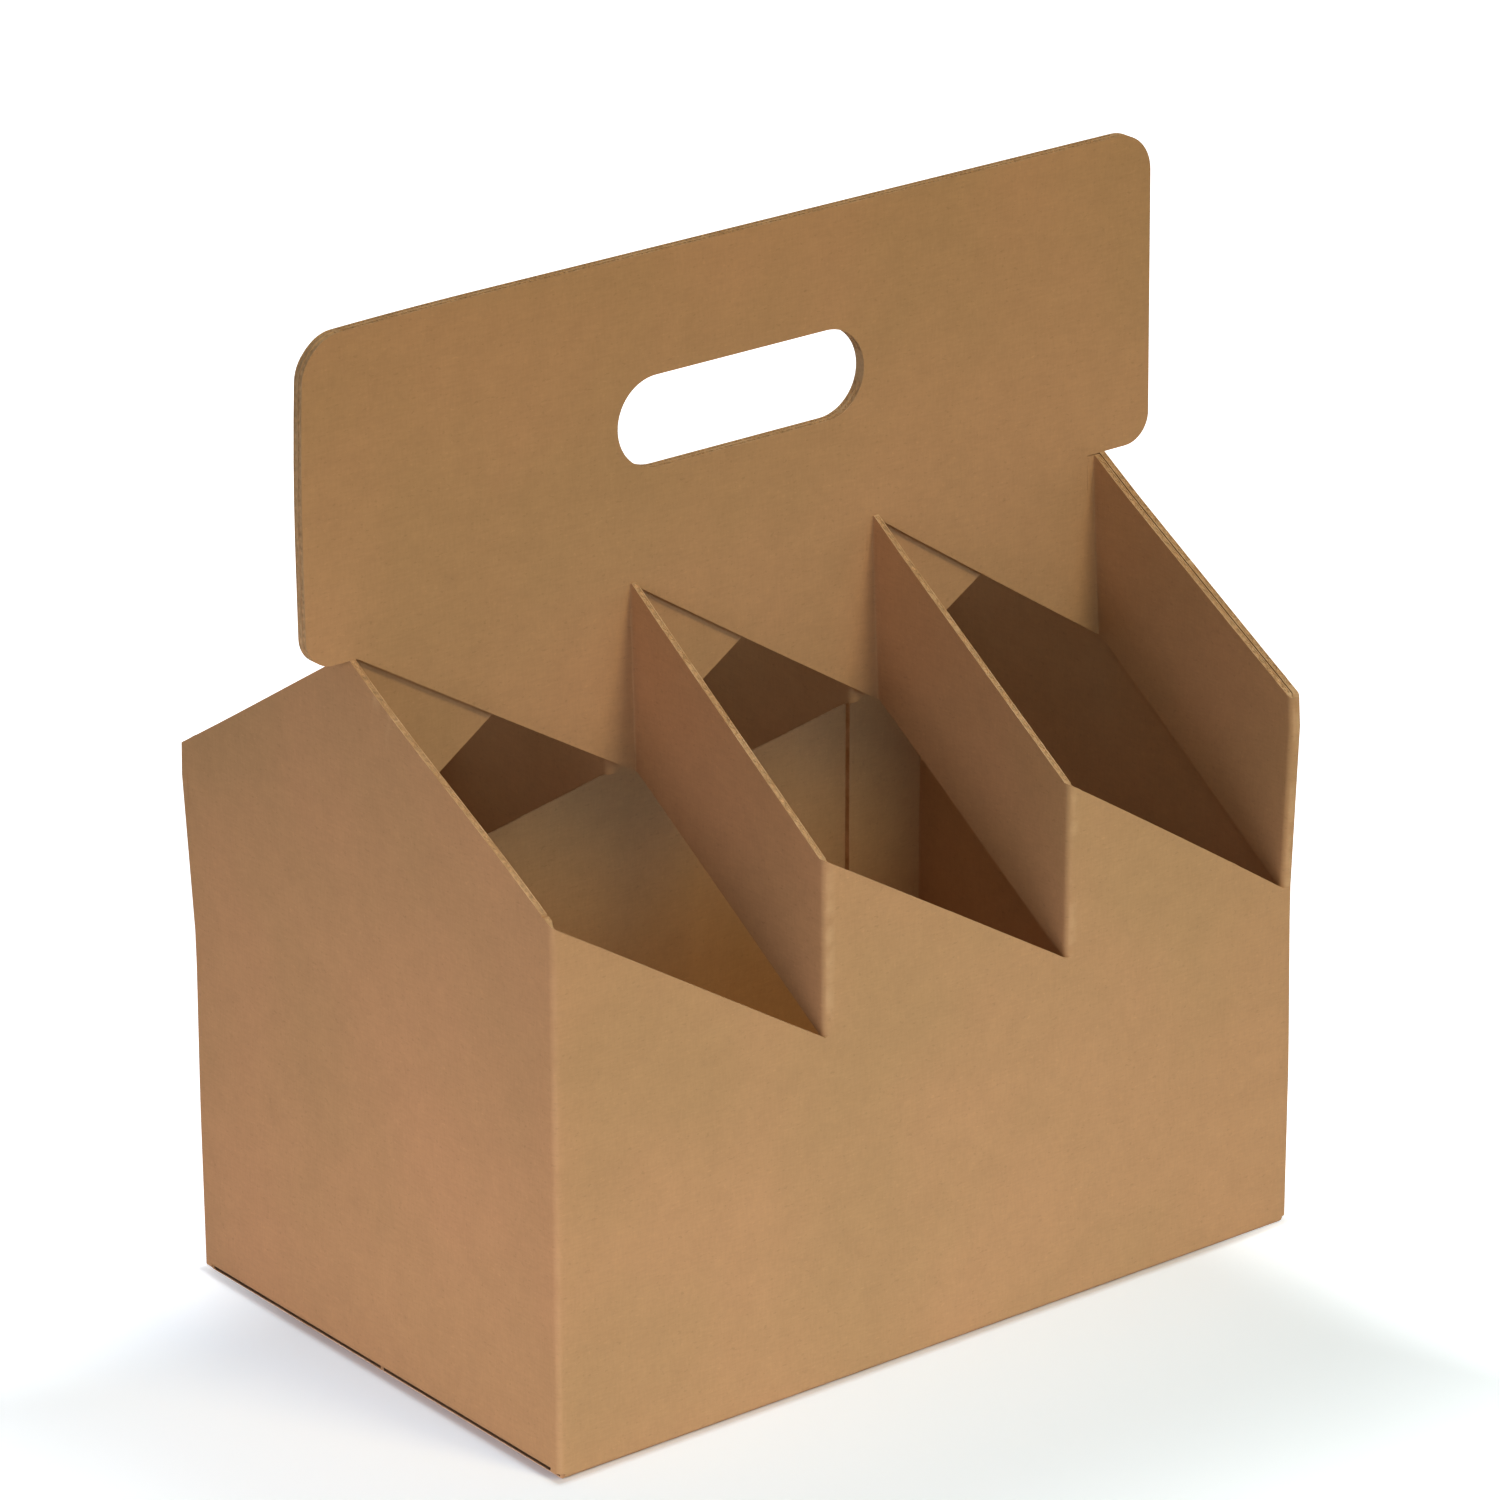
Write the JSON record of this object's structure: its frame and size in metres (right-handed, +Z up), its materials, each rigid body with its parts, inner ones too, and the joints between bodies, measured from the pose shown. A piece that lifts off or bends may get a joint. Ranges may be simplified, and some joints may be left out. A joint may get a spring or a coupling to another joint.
{
  "type": "bottle carrier carton",
  "caption": "Open kraft corrugated bottle carrier folded from one sheet, with gabled ends, saw-tooth long walls, folded-in dividing straps and a double-ply handle with a finger slot.",
  "frame": {"origin": "centre of the bottom, on the surface that the carrier stands on", "axes": "+Z up, +X along the length and the handle towards the right-hand end, -Y towards the front wall"},
  "size_m": [0.306, 0.178, 0.3185],
  "materials": {
    "kraft_board": "uncoated brown kraft liner, matt"
  },
  "bodies": {
    "root": {"carrier": "kraft_board"}
  },
  "joints": []
}
